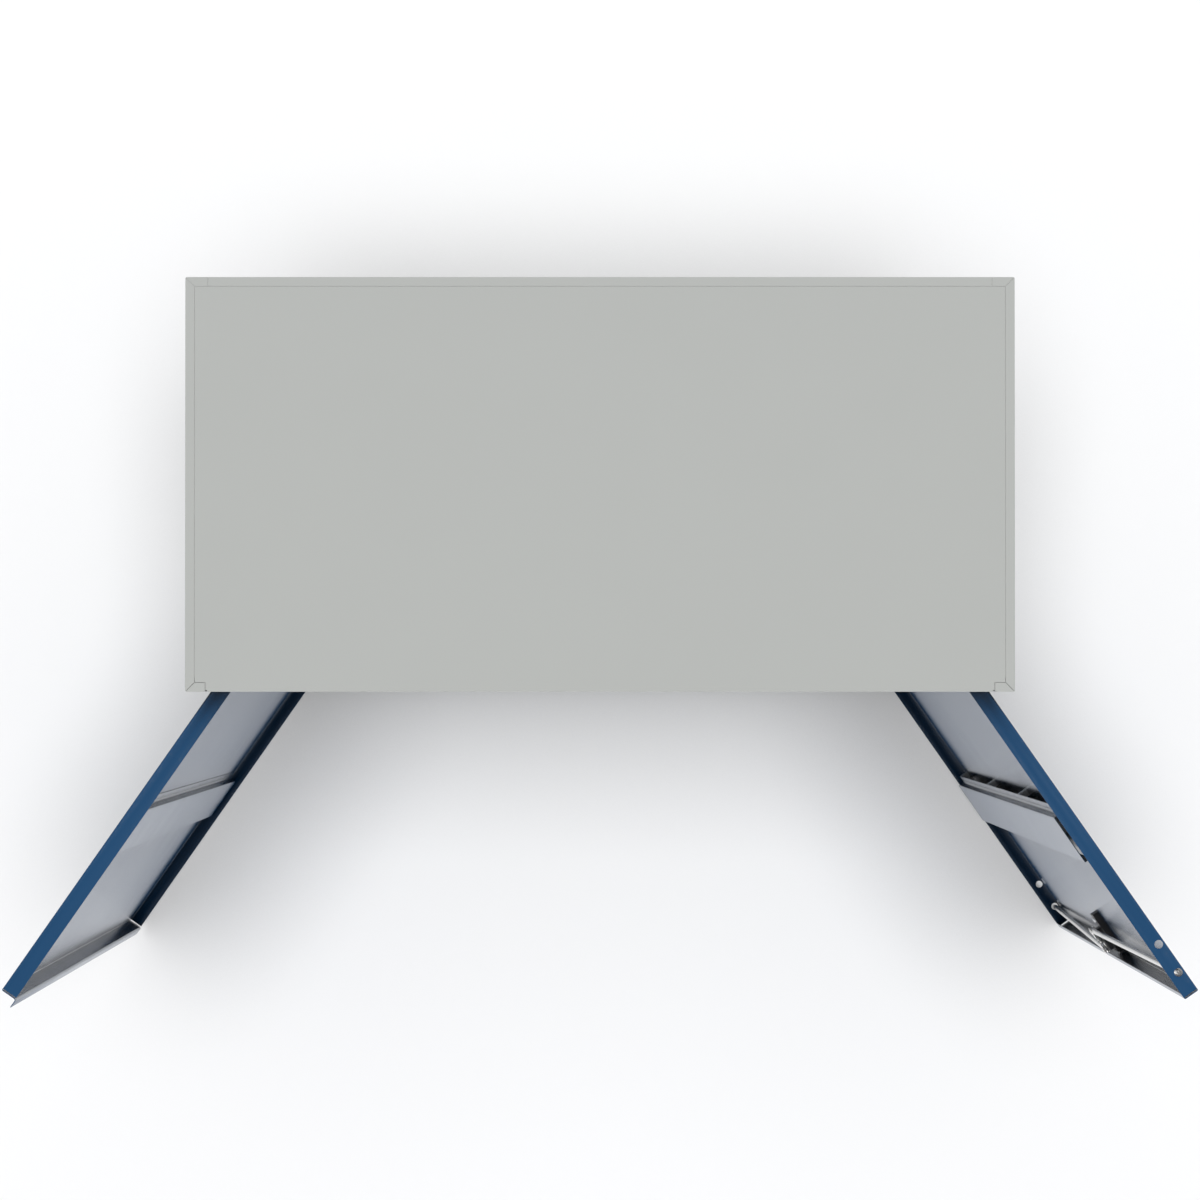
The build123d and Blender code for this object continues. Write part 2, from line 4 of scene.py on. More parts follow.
import bmesh
import bpy
import numpy as np
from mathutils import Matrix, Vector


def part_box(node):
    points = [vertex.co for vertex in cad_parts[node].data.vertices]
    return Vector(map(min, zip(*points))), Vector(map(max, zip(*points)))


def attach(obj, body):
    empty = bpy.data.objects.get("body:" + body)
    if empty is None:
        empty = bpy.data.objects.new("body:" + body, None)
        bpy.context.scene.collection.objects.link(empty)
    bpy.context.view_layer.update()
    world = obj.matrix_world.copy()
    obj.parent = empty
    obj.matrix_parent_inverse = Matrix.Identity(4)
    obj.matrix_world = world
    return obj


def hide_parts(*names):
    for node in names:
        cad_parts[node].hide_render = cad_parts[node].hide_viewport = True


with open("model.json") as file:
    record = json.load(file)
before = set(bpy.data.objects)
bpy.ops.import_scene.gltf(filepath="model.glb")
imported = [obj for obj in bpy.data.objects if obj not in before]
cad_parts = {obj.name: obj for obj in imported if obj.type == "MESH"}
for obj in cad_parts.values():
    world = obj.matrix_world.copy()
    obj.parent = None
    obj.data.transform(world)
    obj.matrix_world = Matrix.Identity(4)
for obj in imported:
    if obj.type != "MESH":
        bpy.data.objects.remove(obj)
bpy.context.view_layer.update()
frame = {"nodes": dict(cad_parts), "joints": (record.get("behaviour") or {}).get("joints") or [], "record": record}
nodes = frame["nodes"]
joints = {joint["name"]: joint for joint in frame["joints"]}
mm = 0.001
fullTurn = 2 * math.pi
quarterTurn = math.pi / 2
print("frame loaded")


view = {
    "stand": (0.0, -0.216, 8.71),           # straight above, a little in front of the middle
    "aim": (0.0, -0.13945, 1.95),
    "lens": 168.3,
    "farthest": 1000.0,
}
light = {
    "skyColour": (0.95, 0.97, 1.0),
    "skyStrength": 0.13,
    "skyGloss": 0.34,                       # what glossy surfaces see of the sky
    "backdrop": 1.0,                        # what the camera itself sees beyond the floor
    "suns": ((0.31, 2.34), (0.80, 0.92)),   # angular size and strength
    "sunTilt": 0.0113,                      # away from straight down, shining a little backwards
    "softboxes": ((-3.3, -2.7, 1.7), (3.3, -2.7, 1.7), (0.0, 4.2, 1.7)),
    "softboxAim": (0.0, 0.0, 1.0),
    "softboxSize": 2.2,
    "softboxPower": 62.0,
}
ground = {
    "colour": (0.86, 0.86, 0.865),
    "reach": 300.0,
    "shadowDarkest": 0.52,                        # how dark the painted shadow makes the floor right under a wall
    "shadeReach": 0.27,                     # how far away a wall still darkens the floor with painted shadow
    "rough": 0.9,
    "gloss": 0.1,
}


def node(tree, kind, **settings):
    # a new shader node of the kind, with its own settings
    made = tree.nodes.new(kind)
    for key, value in settings.items():
        setattr(made, key, value)
    return made


def addObject(name, data):
    # the data as an object in the scene, at the origin
    thing = bpy.data.objects.new(name, data)
    bpy.context.collection.objects.link(thing)
    return thing


def lookAt(thing, target):
    # tip from straight down by the angle to the target, then turn towards it
    aim = np.array(target) - np.array(thing.location)
    flat = math.hypot(aim[0], aim[1])
    thing.rotation_euler = (math.atan2(flat, -aim[2]), 0.0, math.atan2(-aim[0], aim[1]))


camData = bpy.data.cameras.new("camera")
camData.lens = view["lens"]
camData.clip_end = view["farthest"]
cam = addObject("camera", camData)
cam.location = view["stand"]
lookAt(cam, view["aim"])
bpy.context.scene.camera = cam

for count, (angle, strength) in enumerate(light["suns"]):
    sun = bpy.data.lights.new(f"sun{count}", "SUN")
    sun.angle = angle
    sun.energy = strength
    lamp = addObject(f"sun{count}", sun)
    lamp.rotation_euler = (light["sunTilt"], 0.0, 0.0)
    lamp.visible_glossy = False

# one sky brightness for lighting, one for reflections and one for what the camera sees
world = bpy.data.worlds.new("studio")
world.use_nodes = True
sky = world.node_tree.nodes["Background"]
sky.inputs["Color"].default_value = (*light["skyColour"], 1)
ray = node(world.node_tree, "ShaderNodeLightPath")
mirrored = node(world.node_tree, "ShaderNodeMapRange")
mirrored.inputs["To Min"].default_value = light["skyStrength"]
mirrored.inputs["To Max"].default_value = light["skyGloss"]
world.node_tree.links.new(ray.outputs["Is Glossy Ray"], mirrored.inputs["Value"])
seen = node(world.node_tree, "ShaderNodeMapRange")
seen.inputs["To Max"].default_value = light["backdrop"]
world.node_tree.links.new(ray.outputs["Is Camera Ray"], seen.inputs["Value"])
world.node_tree.links.new(mirrored.outputs["Result"], seen.inputs["To Min"])
world.node_tree.links.new(seen.outputs["Result"], sky.inputs["Strength"])
bpy.context.scene.world = world
bpy.context.scene.view_settings.view_transform = "Standard"

# the floor is one triangle, so no inner edge of it can show
reach = ground["reach"]
floorMesh = bpy.data.meshes.new("floor")
floorCorners = [(-2 * reach, -reach, 0), (2 * reach, -reach, 0), (0, 2 * reach, 0)]
floorMesh.from_pydata(floorCorners, [], [(0, 1, 2)])
floor = addObject("floor", floorMesh)
floorPaint = bpy.data.materials.new("floorPaint")
floorPaint.use_nodes = True
floorShader = floorPaint.node_tree.nodes["Principled BSDF"]
# painted shadow: ambient occlusion darkens the floor's colour near walls, standing in for the cabinet's contact
# shadow
closeBy = node(floorPaint.node_tree, "ShaderNodeAmbientOcclusion", samples=8)
closeBy.inputs["Distance"].default_value = ground["shadeReach"]
floorShadowTone = node(floorPaint.node_tree, "ShaderNodeMix", data_type="RGBA")
floorShadowTone.inputs["A"].default_value = (*[c * ground["shadowDarkest"] for c in ground["colour"]], 1)
floorShadowTone.inputs["B"].default_value = (*ground["colour"], 1)
floorPaint.node_tree.links.new(closeBy.outputs["AO"], floorShadowTone.inputs["Factor"])
floorPaint.node_tree.links.new(floorShadowTone.outputs["Result"], floorShader.inputs["Base Color"])
floorShader.inputs["Roughness"].default_value = ground["rough"]
floorShader.inputs["Specular IOR Level"].default_value = ground["gloss"]
floor.data.materials.append(floorPaint)

boxLit = bpy.data.collections.new("boxLit")     # the softboxes light everything but the floor
boxLit.objects.link(floor)
boxLit.collection_objects[0].light_linking.link_state = "EXCLUDE"
for count, place in enumerate(light["softboxes"]):
    box = bpy.data.lights.new(f"softbox{count}", "AREA")
    box.size = light["softboxSize"]
    box.energy = light["softboxPower"]
    lamp = addObject(f"softbox{count}", box)
    lamp.location = place
    lookAt(lamp, light["softboxAim"])
    lamp.visible_camera = False
    lamp.light_linking.receiver_collection = boxLit
print("camera and light set")


finishes = {
    "body_paint": {"colour": (0.392, 0.402, 0.388), "shift": 0.02, "rough": 0.40, "peel": 700, "bump": 0.03,
                   "wear": (0.62, 0.62, 0.60), "wearAmount": 0.35},
    "shelf_paint": {"colour": (0.45, 0.46, 0.45), "shift": 0.04, "rough": 0.45, "peel": 650, "bump": 0.05,
                    "wear": (0.66, 0.66, 0.66), "wearAmount": 0.4},
    # the door paint carries painted shade: its colour darkens in corners and recesses
    "door_paint": {"colour": (0.0065, 0.052, 0.133), "shift": 0.05, "rough": 0.21, "peel": 900,
                   "bump": 0.012, "wear": (0.08, 0.15, 0.26), "wearAmount": 0.25,
                   "paintedShade": 0.14, "paintedShadeFrom": 0.58, "paintedShadeReach": 0.15},
    "zinc_steel": {"colour": (0.56, 0.57, 0.58), "shift": 0.22, "rough": 0.38, "peel": 240, "bump": 0.06,
                   "metal": 1.0, "wear": (0.75, 0.75, 0.75), "wearAmount": 0.3},
    "rod_steel": {"colour": (0.74, 0.73, 0.71), "shift": 0.08, "rough": 0.24, "peel": 900, "bump": 0.04,
                  "metal": 1.0, "stretch": (1.0, 1.0, 0.02), "wear": (0.85, 0.84, 0.82), "wearAmount": 0.3},
    "lock_chrome": {"colour": (0.78, 0.78, 0.79), "shift": 0.04, "rough": 0.12, "peel": 1500, "bump": 0.02,
                    "metal": 1.0, "wear": (0.9, 0.9, 0.9), "wearAmount": 0.2},
    "black_plastic": {"colour": (0.012, 0.012, 0.013), "shift": 0.25, "rough": 0.46, "peel": 2600,
                      "bump": 0.16, "wear": (0.05, 0.05, 0.05), "wearAmount": 0.5},
    "bush_nylon": {"colour": (0.72, 0.69, 0.62), "shift": 0.05, "rough": 0.4, "peel": 1200, "bump": 0.04,
                   "wear": (0.8, 0.78, 0.72), "wearAmount": 0.2},
    "glide_plastic": {"colour": (0.03, 0.03, 0.032), "shift": 0.2, "rough": 0.55, "peel": 2000,
                      "bump": 0.12, "wear": (0.09, 0.09, 0.09), "wearAmount": 0.5},
    "buffer_rubber": {"colour": (0.018, 0.018, 0.019), "shift": 0.15, "rough": 0.75, "peel": 3000,
                      "bump": 0.1, "wear": (0.05, 0.05, 0.05), "wearAmount": 0.3},
}
texture = {
    "cloudScale": 9.0,
    "cloudDetail": 5.0,
    "grainDetail": 2.0,
    "glossSpread": 0.14,            # how far the roughness wanders either way, as a share
    "edgeRadius": 0.7 * mm,         # how wide a rubbed edge is
    "edgeBegins": 0.995,            # agreement of the true and the rounded normal where the wear starts
    "edgeFull": 0.85,
    "bumpDepth": 0.2 * mm,
}


def paintedCornerShade(tree, colour, look):
    # painted shade: the paint's colour darkens where nearby surfaces close in on it, standing in for the shade in
    # corners and recesses
    nearby = node(tree, "ShaderNodeAmbientOcclusion", samples=6)
    nearby.inputs["Distance"].default_value = look["paintedShadeReach"]
    amount = node(tree, "ShaderNodeMapRange")
    amount.inputs["From Min"].default_value = look["paintedShadeFrom"]
    amount.inputs["From Max"].default_value = 1.0
    amount.inputs["To Min"].default_value = look["paintedShade"]
    amount.inputs["To Max"].default_value = 1.0
    tree.links.new(nearby.outputs["AO"], amount.inputs["Value"])
    shaded = node(tree, "ShaderNodeMix", data_type="RGBA", blend_type="MULTIPLY")
    shaded.inputs["Factor"].default_value = 1.0
    tree.links.new(colour, shaded.inputs["A"])
    tree.links.new(amount.outputs["Result"], shaded.inputs["B"])
    return shaded.outputs["Result"]


def makeFinish(name, look):
    # mottled colour, fine surface grain, uneven gloss, rubbed edges found by rounding the normal, and, where the
    # look asks for it, painted shade in corners
    mat = bpy.data.materials.new(name)
    mat.use_nodes = True
    tree = mat.node_tree
    link = tree.links.new
    shader = tree.nodes["Principled BSDF"]
    shader.inputs["Metallic"].default_value = look.get("metal", 0.0)
    place = node(tree, "ShaderNodeTexCoord")
    turned = node(tree, "ShaderNodeMapping")
    turned.inputs["Scale"].default_value = look.get("stretch", (1.0, 1.0, 1.0))
    link(place.outputs["Object"], turned.inputs["Vector"])

    cloud = node(tree, "ShaderNodeTexNoise")
    cloud.inputs["Scale"].default_value = texture["cloudScale"]
    cloud.inputs["Detail"].default_value = texture["cloudDetail"]
    link(turned.outputs["Vector"], cloud.inputs["Vector"])
    grain = node(tree, "ShaderNodeTexNoise")
    grain.inputs["Scale"].default_value = look["peel"]
    grain.inputs["Detail"].default_value = texture["grainDetail"]
    link(turned.outputs["Vector"], grain.inputs["Vector"])

    tint = node(tree, "ShaderNodeMix", data_type="RGBA")
    tint.inputs["A"].default_value = (*[c * (1 - look["shift"]) for c in look["colour"]], 1)
    tint.inputs["B"].default_value = (*[c * (1 + look["shift"]) for c in look["colour"]], 1)
    link(cloud.outputs["Fac"], tint.inputs["Factor"])

    rounded = node(tree, "ShaderNodeBevel", samples=4)
    rounded.inputs["Radius"].default_value = texture["edgeRadius"]
    flat = node(tree, "ShaderNodeNewGeometry")
    same = node(tree, "ShaderNodeVectorMath", operation="DOT_PRODUCT")
    link(rounded.outputs["Normal"], same.inputs[0])
    link(flat.outputs["Normal"], same.inputs[1])
    edge = node(tree, "ShaderNodeMapRange")
    edge.inputs["From Min"].default_value = texture["edgeBegins"]
    edge.inputs["From Max"].default_value = texture["edgeFull"]
    link(same.outputs["Value"], edge.inputs["Value"])
    rub = node(tree, "ShaderNodeMath", operation="MULTIPLY")
    rub.inputs[1].default_value = look["wearAmount"]
    link(edge.outputs["Result"], rub.inputs[0])
    worn = node(tree, "ShaderNodeMix", data_type="RGBA")
    worn.inputs["B"].default_value = (*look["wear"], 1)
    link(rub.outputs["Value"], worn.inputs["Factor"])
    link(tint.outputs["Result"], worn.inputs["A"])
    colour = worn.outputs["Result"]
    # painted shade: darker colour in corners and recesses, standing in for shade
    if "paintedShade" in look:
        colour = paintedCornerShade(tree, colour, look)
    link(colour, shader.inputs["Base Color"])

    gloss = node(tree, "ShaderNodeMapRange")
    gloss.inputs["To Min"].default_value = look["rough"] * (1 - texture["glossSpread"])
    gloss.inputs["To Max"].default_value = look["rough"] * (1 + texture["glossSpread"])
    link(cloud.outputs["Fac"], gloss.inputs["Value"])
    link(gloss.outputs["Result"], shader.inputs["Roughness"])

    bump = node(tree, "ShaderNodeBump")
    bump.inputs["Strength"].default_value = look["bump"]
    bump.inputs["Distance"].default_value = texture["bumpDepth"]
    link(grain.outputs["Fac"], bump.inputs["Height"])
    link(rounded.outputs["Normal"], bump.inputs["Normal"])
    link(bump.outputs["Normal"], shader.inputs["Normal"])
    return mat


materials = {slot: makeFinish(slot, look) for slot, look in finishes.items()}
for part in frame["record"]["subparts"]:
    slots = nodes[part["node"]].data.materials
    slots.clear()
    slots.append(materials[part["material_slot"]])
print("finishes made")


def turnSteps(count):
    # equal steps once round, the last one short of the first
    return np.linspace(0, fullTurn, count, endpoint=False)


def swell(wave, power):
    # a sine or cosine raised to a power with its sign kept: below 1 it squares a circle up
    return np.sign(wave) * np.abs(wave) ** power


def circle(x, y, r, steps=48):
    # points at radius r round (x, y), anticlockwise
    turn = turnSteps(steps)
    return np.column_stack([x + r * np.cos(turn), y + r * np.sin(turn)])


def roundedRectangle(a, b, r, steps=8):
    # outline of half sizes a and b with corner radius r, anticlockwise
    quarter = np.linspace(0, quarterTurn, steps + 1)
    corners = ((a - r, b - r), (r - a, b - r), (r - a, r - b), (a - r, r - b))
    return np.vstack([np.column_stack([x + r * np.cos(quarter + k * quarterTurn),
                                       y + r * np.sin(quarter + k * quarterTurn)])
                      for k, (x, y) in enumerate(corners)])


def roundedLine(points, radius, steps=8):
    # a polyline with every inner corner replaced by an arc; one radius for all, or one for each corner
    points = np.array(points, dtype=float)
    radii = np.broadcast_to(radius, len(points) - 2)
    line = [points[:1]]
    for before, corner, after, bend in zip(points[:-2], points[1:-1], points[2:], radii):
        back = (before - corner) / np.linalg.norm(before - corner)
        ahead = (after - corner) / np.linalg.norm(after - corner)
        half = math.acos(np.clip(back @ ahead, -1, 1)) / 2
        middle = corner + (back + ahead) / np.linalg.norm(back + ahead) * bend / math.sin(half)
        start = corner + back * bend / math.tan(half) - middle
        end = corner + ahead * bend / math.tan(half) - middle
        turn = math.atan2(start[0] * end[1] - start[1] * end[0], start @ end)
        angles = np.linspace(0, turn, steps + 1)[:, None]
        side = np.array([-start[1], start[0]])
        line.append(middle + start * np.cos(angles) + side * np.sin(angles))
    line.append(points[-1:])
    return np.vstack(line)


def moveAside(line, before, after, amount):
    # each point moved along the mean of its two neighbouring normals, far enough to keep the distance
    joined = before + after
    joined /= np.linalg.norm(joined, axis=1)[:, None]
    stretch = 1 / np.maximum(0.5, (joined * after).sum(axis=1))
    return line + joined * stretch[:, None] * amount


def offsetLine(line, amount):
    # every point moved to the right of the line's direction, keeping the sheet's thickness
    along = np.diff(line, axis=0)
    along /= np.linalg.norm(along, axis=1)[:, None]
    right = np.column_stack([along[:, 1], -along[:, 0]])
    return moveAside(line, np.vstack([right[:1], right]), np.vstack([right, right[-1:]]), amount)


def offsetRing(ring, amount):
    # closed outline, anticlockwise, drawn in by the amount
    closed = np.vstack([ring[-1:], ring, ring[:1]])
    along = np.diff(closed, axis=0)
    along /= np.linalg.norm(along, axis=1)[:, None]
    left = np.column_stack([-along[:, 1], along[:, 0]])
    return moveAside(ring, left[:-1], left[1:], amount)


def sheetMesh(line, thickness, low, high):
    # folded sheet: two copies of the line, the sheet's faces, at both heights, joined all round
    count = len(line)
    plan = np.vstack([line, offsetLine(line, thickness)])
    points = np.vstack([np.column_stack([plan, np.full(2 * count, z)]) for z in (low, high)])
    i = np.arange(count - 1)
    top = 2 * count
    outside = np.column_stack([i, i + 1, i + 1 + top, i + top])
    inside = np.column_stack([i + 1 + count, i + count, i + count + top, i + 1 + count + top])
    below = np.column_stack([i + 1, i, i + count, i + 1 + count])
    above = below[:, ::-1] + top
    last = count - 1
    ends = [[count, 0, top, count + top], [last, last + count, last + count + top, last + top]]
    return points, np.vstack([outside, inside, below, above, ends]).tolist()


def stackMesh(rings):
    # closed shell through a stack of equal-length rings, with a flat cap at each end
    rings = np.array(rings)
    levels, count = rings.shape[:2]
    i, k = np.meshgrid(np.arange(levels - 1), np.arange(count), indexing="ij")
    here = (i * count + k).ravel()
    there = (i * count + (k + 1) % count).ravel()
    faces = np.column_stack([here, there, there + count, here + count]).tolist()
    faces.append(list(range(count))[::-1])
    faces.append(list(range((levels - 1) * count, levels * count)))
    return rings.reshape(-1, 3), faces


def aroundZ(profile, steps):
    # grid of points: each (radius, height) of the profile carried round the Z axis
    turn = turnSteps(steps)[:, None]
    radius, height = np.array(profile, dtype=float).T
    return np.stack([radius * np.cos(turn), radius * np.sin(turn), height + 0 * turn], axis=-1)


def latheMesh(profile, steps=40):
    # open profile from pole to pole carried round the Z axis; radius 0 closes a pole
    return stackMesh(aroundZ(profile, steps).transpose(1, 0, 2))


def spinMesh(section, steps=40):
    # closed section carried round the Z axis: a ring of any cross section
    grid = aroundZ(section, steps)
    count = grid.shape[1]
    i, k = np.meshgrid(np.arange(steps), np.arange(count), indexing="ij")
    after = ((i + 1) % steps) * count
    across = (k + 1) % count
    faces = np.column_stack([(i * count + k).ravel(), (after + k).ravel(), (after + across).ravel(),
                             (i * count + across).ravel()])
    return grid.reshape(-1, 3), faces.tolist()


def ringMesh(inner, outer, low, high, edge, steps=40):
    # washer or sleeve: a rectangle with rounded corners carried round the Z axis
    section = roundedRectangle((outer - inner) / 2, (high - low) / 2, edge, 3)
    return spinMesh(section + np.array([(inner + outer) / 2, (low + high) / 2]), steps)


def softBlock(a, b, corner, low, high, edge):
    # rounded rectangle block, its rims rounded by quarter circles of radius edge
    turn = np.linspace(0, quarterTurn, 5)
    rise = np.concatenate([low + edge * (1 - np.cos(turn)), high - edge * (1 - np.cos(turn[::-1]))])
    inset = np.concatenate([edge * (1 - np.sin(turn)), edge * (1 - np.sin(turn[::-1]))])
    rings = []
    for z, cut in zip(rise, inset):
        flat = roundedRectangle(a - cut, b - cut, max(corner - cut, 0.1 * mm))
        rings.append(np.column_stack([flat, np.full(len(flat), z)]))
    return stackMesh(rings)


def plateMesh(outline, holes, low, high, edge):
    # flat plate with holes, all outlines anticlockwise, its rims bevelled, filled as a flat curve
    curve = bpy.data.curves.new("plate", "CURVE")
    curve.dimensions = "2D"
    curve.fill_mode = "BOTH"
    curve.extrude = (high - low) / 2 - edge
    curve.bevel_depth = edge
    curve.bevel_resolution = 1
    rims = [offsetRing(np.array(outline, dtype=float), edge)]
    rims += [offsetRing(np.array(hole, dtype=float), -edge) for hole in holes]
    for rim in rims:
        spline = curve.splines.new("POLY")
        spline.points.add(len(rim) - 1)
        flat = np.column_stack([rim, np.zeros(len(rim)), np.ones(len(rim))])
        spline.points.foreach_set("co", flat.ravel())
        spline.use_cyclic_u = True
    holder = addObject("plate", curve)
    depsgraph = bpy.context.evaluated_depsgraph_get()
    mesh = bpy.data.meshes.new_from_object(holder.evaluated_get(depsgraph))
    points = np.array([v.co for v in mesh.vertices])
    points[:, 2] += (low + high) / 2
    faces = [list(p.vertices) for p in mesh.polygons]
    bpy.data.objects.remove(holder)
    bpy.data.curves.remove(curve)
    bpy.data.meshes.remove(mesh)
    return points, faces


def shift(shape, x=0.0, y=0.0, z=0.0):
    # every point moved by the same amount
    points, faces = shape
    return points + np.array([x, y, z]), faces


def flip(shape):
    # upside down; the normals are put right when the piece is made
    points, faces = shape
    return points * np.array([1.0, 1.0, -1.0]), faces


def turnToX(shape):
    # the shape's own Z laid along X
    points, faces = shape
    return points[:, [2, 0, 1]], faces


def turnToY(shape):
    # the shape's own Z laid along Y
    points, faces = shape
    return points[:, [1, 2, 0]], faces


def join(*shapes):
    # several shapes as one, each one's faces counting on from the points before it
    points, faces, start = [], [], 0
    for some, theirs in shapes:
        points.append(some)
        faces += [[index + start for index in face] for face in theirs]
        start += len(some)
    return np.vstack(points), faces


def makePiece(name, shape, slot, body, replaced=()):
    # doubles merged, faces turned outwards, and every fold sharper than 40 degrees kept crisp
    points, faces = shape
    mesh = bpy.data.meshes.new(name)
    mesh.from_pydata(points.tolist(), [], faces)
    work = bmesh.new()
    work.from_mesh(mesh)
    bmesh.ops.remove_doubles(work, verts=work.verts, dist=0.001 * mm)
    bmesh.ops.recalc_face_normals(work, faces=work.faces)
    work.to_mesh(mesh)
    work.free()
    mesh.shade_smooth()
    mesh.set_sharp_from_angle(angle=math.radians(40))
    mesh.materials.append(materials[slot])
    piece = addObject(name, mesh)
    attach(piece, body)
    if replaced:
        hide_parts(*replaced)


def doorPlace(jointName, side):
    # pivot point, the way along the open door, and the way in from its outer face
    joint = joints[jointName]
    turn = math.radians(joint["range_deg"][1])
    along = np.array([-side * math.cos(turn), -math.sin(turn), 0.0])
    inward = np.array([-side * math.sin(turn), math.cos(turn), 0.0])
    pivot = np.array([joint["pos_m"][0], joint["pos_m"][1], 0.0])
    return pivot, along, inward


left = doorPlace("left_door_swing", -1)
right = doorPlace("right_door_swing", 1)
doors = (("left", left), ("right", right))


def doorBox(name, door):
    # a node's lowest and highest corner in door terms: along, inward and up from the pivot
    mesh = nodes[name].data
    points = np.empty(len(mesh.vertices) * 3)
    mesh.vertices.foreach_get("co", points)
    points = points.reshape(-1, 3) - door[0]
    local = np.column_stack([points @ door[1], points @ door[2], points[:, 2]])
    return local.min(axis=0), local.max(axis=0)


def atDoor(shape, door):
    # from door terms to the frame
    points, faces = shape
    pivot, along, inward = door
    up = np.array([0.0, 0.0, 1.0])
    return pivot + points[:, :1] * along + points[:, 1:2] * inward + points[:, 2:] * up, faces


# both doors alike: the outer face in from the pivot line, and the bottom and top edge
(_, outer, doorLow), (_, _, doorHigh) = doorBox("left_door_panel", left)
spindle = np.array(joints["handle_turn"]["pos_m"])
spindleAlong = (spindle - right[0]) @ right[1]
doorPanel = {
    "sheet": 1.0 * mm,
    "bend": 2.0 * mm,
    "slit": 1.5 * mm,           # open corner between two flanges
    "depth": 20.0 * mm,
    "lip": 10.5 * mm,           # left door's turned-out free edge
    "lipGap": 0.3 * mm,
    "lipCorner": 8.0 * mm,
    "return": 8.0 * mm,         # right door's turned-in free edge
    "holeRadius": 5.2 * mm,
    "spareHole": 41.5 * mm,     # from the rod hole towards the hinge
    "pinHole": 4.05 * mm,
    "hemRound": 0.18 * mm,
    "turnIn": 0.5 * mm,         # how far the skin runs on past its top and bottom bends
    "overlap": 0.2 * mm,        # how far a flange reaches back into the bend
    "slack": 0.02 * mm,         # keeps a flange's faces off the skin's
}


def lipMesh(free, low, high, p):
    # left door's turned-out strip, its lower corner cut back at 45 degrees
    w = outer + p["depth"] + p["lipGap"]
    end = free + p["lip"]
    start = free - p["sheet"] + p["bend"]
    cut = p["lipCorner"]
    outline = [(low, end - cut), (low + cut, end), (high, end), (high, start), (low, start)]
    return turnToY(plateMesh(outline, [], w, w + p["sheet"], p["hemRound"]))


def doorTray(nodeName, door, isRight, p):
    # skin and end bends swept along the door, both edges swept up it, and two flange plates
    lo, hi = doorBox(nodeName, door)
    low, high = lo[2], hi[2]
    hinge = lo[0]
    free = hi[0] if isRight else hi[0] - p["lip"]
    rim = outer + p["depth"]
    ends = (hinge + p["sheet"] + p["slit"], free - p["sheet"] - p["slit"])
    knee = outer + p["bend"] + p["turnIn"]
    upright = roundedLine([(knee, high), (outer, high), (outer, low), (knee, low)], p["bend"])
    hingeLine = roundedLine([(ends[0], outer), (hinge, outer), (hinge, rim)], p["bend"])
    shapes = [turnToX(sheetMesh(upright[::-1], p["sheet"], *ends)),
              sheetMesh(hingeLine, p["sheet"], low, high)]
    holes = [circle(0, 0, p["pinHole"])]
    if isRight:
        freeLine = [(free - p["return"], rim), (free, rim), (free, outer), (ends[1], outer)]
        shapes.append(sheetMesh(roundedLine(freeLine, p["bend"]), p["sheet"], low, high))
        holes += [circle(u, 0, p["holeRadius"]) for u in (spindleAlong, spindleAlong - p["spareHole"])]
    else:
        lipLevel = rim + p["lipGap"]
        freeLine = [(free + p["bend"], lipLevel), (free, lipLevel), (free, outer), (ends[1], outer)]
        bend = p["bend"] - 0.01 * mm        # leaves a short straight run before the lip
        shapes.append(sheetMesh(roundedLine(freeLine, bend), p["sheet"], low, high))
        shapes.append(lipMesh(free, low, high, p))
    start = outer + p["bend"] - p["overlap"]
    outline = [(ends[0], start), (ends[1], start), (ends[1], rim), (ends[0], rim)]
    for z in (low, high - p["sheet"]):
        shapes.append(plateMesh(outline, holes, z + p["slack"], z + p["sheet"] - p["slack"], p["hemRound"]))
    return atDoor(join(*shapes), door)


for side, door in doors:
    tray = doorTray(f"{side}_door_panel", door, side == "right", doorPanel)
    makePiece(f"{side}DoorTray", tray, "door_paint", f"{side}_door", [f"{side}_door_panel"])

stiffener = {
    "foot": 11.0 * mm,
    "sheet": 1.0 * mm,
    "footBend": 3.0 * mm,
    "faceBend": 1.2 * mm,
    "welds": 14,
    "weldRadius": 3.2 * mm,
    "weldRise": 0.06 * mm,
    "weldMargin": 33 * mm,          # first and last weld from the stiffener's ends
    "weldPlace": 0.42,              # across the foot, as a share of it
    "weldShape": ((0, 0.4), (0.5, 0.5), (0.8, 1), (1, 0), (0, -1)),     # shares of radius and rise
}


def hatMesh(nodeName, door, p):
    # hat section: foot, wall, face, wall, foot, swept up the door
    lo, hi = doorBox(nodeName, door)
    base, top = lo[1] + p["sheet"], hi[1]
    inner = (lo[0] + p["foot"], hi[0] - p["foot"])
    line = [(lo[0], base), (inner[0], base), (inner[0], top), (inner[1], top), (inner[1], base),
            (hi[0], base)]
    bends = [p["footBend"], p["faceBend"], p["faceBend"], p["footBend"]]
    return sheetMesh(roundedLine(line, bends), p["sheet"], lo[2], hi[2])


def weldRow(nodeName, door, p):
    # shallow round weld marks, evenly spaced down both feet
    lo, hi = doorBox(nodeName, door)
    profile = np.array(p["weldShape"]) * np.array([p["weldRadius"], p["weldRise"]])
    mark = turnToY(latheMesh(profile, 20))
    across = p["foot"] * p["weldPlace"]
    marks = []
    for z in np.linspace(lo[2] + p["weldMargin"], hi[2] - p["weldMargin"], p["welds"]):
        for u in (lo[0] + across, hi[0] - across):
            marks.append(shift(mark, u, lo[1] + p["sheet"], z))
    return join(*marks)


for side, door in doors:
    stiffNode = f"{side}_stiffener"
    hat = hatMesh(stiffNode, door, stiffener)
    makePiece(f"{side}Hat", atDoor(hat, door), "door_paint", f"{side}_door", [stiffNode])
    welds = weldRow(stiffNode, door, stiffener)
    makePiece(f"{side}WeldMarks", atDoor(welds, door), "door_paint", f"{side}_door")
print("doors made")


